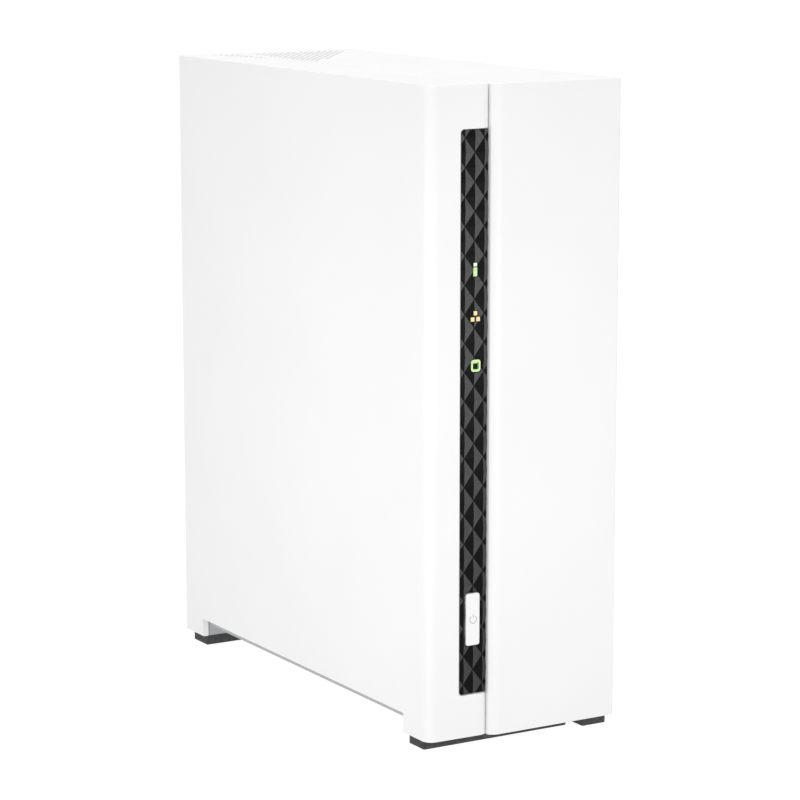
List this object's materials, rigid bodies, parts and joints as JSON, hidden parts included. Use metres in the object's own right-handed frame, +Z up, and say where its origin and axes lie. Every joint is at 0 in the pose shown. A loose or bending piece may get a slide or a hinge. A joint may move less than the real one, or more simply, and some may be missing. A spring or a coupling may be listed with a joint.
{
  "type": "network attached storage",
  "caption": "Tall one-bay desktop network storage unit: white casing with a sliding cover, black faceted front strip, power button, rear fan and a drive inside.",
  "frame": {"origin": "on the floor, under the middle of the unit's overall box", "axes": "+Z up, -Y out of the front face, +X to the right as seen from the front"},
  "size_m": [0.0624, 0.1562, 0.1886],
  "materials": {
    "casing": "satin white moulded plastic",
    "tray": "matt grey moulded plastic",
    "strip": "gloss black faceted plastic",
    "button": "satin white plastic",
    "light_pipe": "clear moulded light pipe, lit",
    "led": "surface-mounted diode",
    "circuit_board": "green solder mask on glass laminate",
    "component": "black moulded package",
    "shield": "tinned steel shield",
    "fastener": "zinc-plated steel",
    "bracket": "galvanised sheet",
    "casting": "cast aluminium",
    "lid": "pressed lid",
    "heatsink": "extruded, anodised",
    "capacitor": "aluminium can",
    "coin_cell": "stainless can",
    "fan": "black glass-filled plastic",
    "plug": "natural nylon",
    "lead": "sleeved wires",
    "foot": "dark grey rubber"
  },
  "bodies": {
    "chassis": {"chassis_shell": "casing", "base_tray": "tray", "rear_panel": "casing", "front_trim": "strip", "status_light_pipe": "light_pipe", "network_light_pipe": "light_pipe", "drive_light_pipe": "light_pipe", "power_switch": "component", "front_io_board": "circuit_board", "front_io_header": "component", "status_led": "led", "network_led": "led", "drive_led": "led", "mainboard": "circuit_board", "processor": "component", "heatsink": "heatsink", "memory_chip_1": "component", "memory_chip_2": "component", "coin_cell_holder": "component", "coin_cell": "coin_cell", "power_inductor": "component", "capacitor_1": "capacitor", "capacitor_2": "capacitor", "lan_jack": "shield", "usb_port_lower": "shield", "usb_port_upper": "shield", "dc_jack": "component", "reset_switch": "component", "riser_socket": "component", "sata_riser": "circuit_board", "sata_receptacle": "component", "drive_bracket": "bracket", "drive_body": "casting", "drive_lid": "lid", "drive_circuit_board": "circuit_board", "fan_frame": "fan", "fan_header": "plug", "fan_plug": "plug", "fan_lead": "lead", "base_front_foot": "foot", "base_rear_foot": "foot", "drive_screw_1": "fastener", "drive_screw_2": "fastener", "drive_screw_3": "fastener", "drive_screw_4": "fastener", "fan_screw_1": "fastener", "fan_screw_2": "fastener", "fan_screw_3": "fastener", "fan_screw_4": "fastener", "mainboard_screw_1": "fastener", "mainboard_screw_2": "fastener"},
    "cover": {"right_cover": "casing", "cover_front_foot": "foot", "cover_rear_foot": "foot"},
    "power_button": {"power_button": "button"},
    "power_switch_plunger": {"power_switch_plunger": "component"},
    "reset_plunger": {"reset_plunger": "component"},
    "fan_rotor": {"fan_rotor": "fan"},
    "thumb_screw": {"thumb_screw": "fastener"}
  },
  "joints": [
    {"name": "cover_slide", "type": "slide", "parent": "chassis", "child": "cover", "axis": [0, -1, 0], "range_m": [0, 0.012]},
    {"name": "power_button_press", "type": "slide", "parent": "chassis", "child": "power_button", "axis": [0, 1, 0], "range_m": [0, 0.0008], "stiffness_N_per_m": 400},
    {"name": "power_switch_press", "type": "slide", "parent": "chassis", "child": "power_switch_plunger", "axis": [0, 1, 0], "range_m": [0, 0.00028]},
    {"name": "reset_press", "type": "slide", "parent": "chassis", "child": "reset_plunger", "axis": [0, -1, 0], "range_m": [0, 0.0003], "stiffness_N_per_m": 800},
    {"name": "fan_spin", "type": "hinge", "parent": "chassis", "child": "fan_rotor", "pos_m": [0, 0.064, 0.152], "axis": [0, 1, 0], "continuous": true},
    {"name": "thumb_screw_turn", "type": "hinge", "parent": "chassis", "child": "thumb_screw", "pos_m": [0.0232, 0.074, 0.108], "axis": [0, 1, 0], "continuous": true}
  ],
  "couplings": [
    {"joint": "power_switch_press", "follows": "power_button_press", "ratio": 0.35}
  ]
}
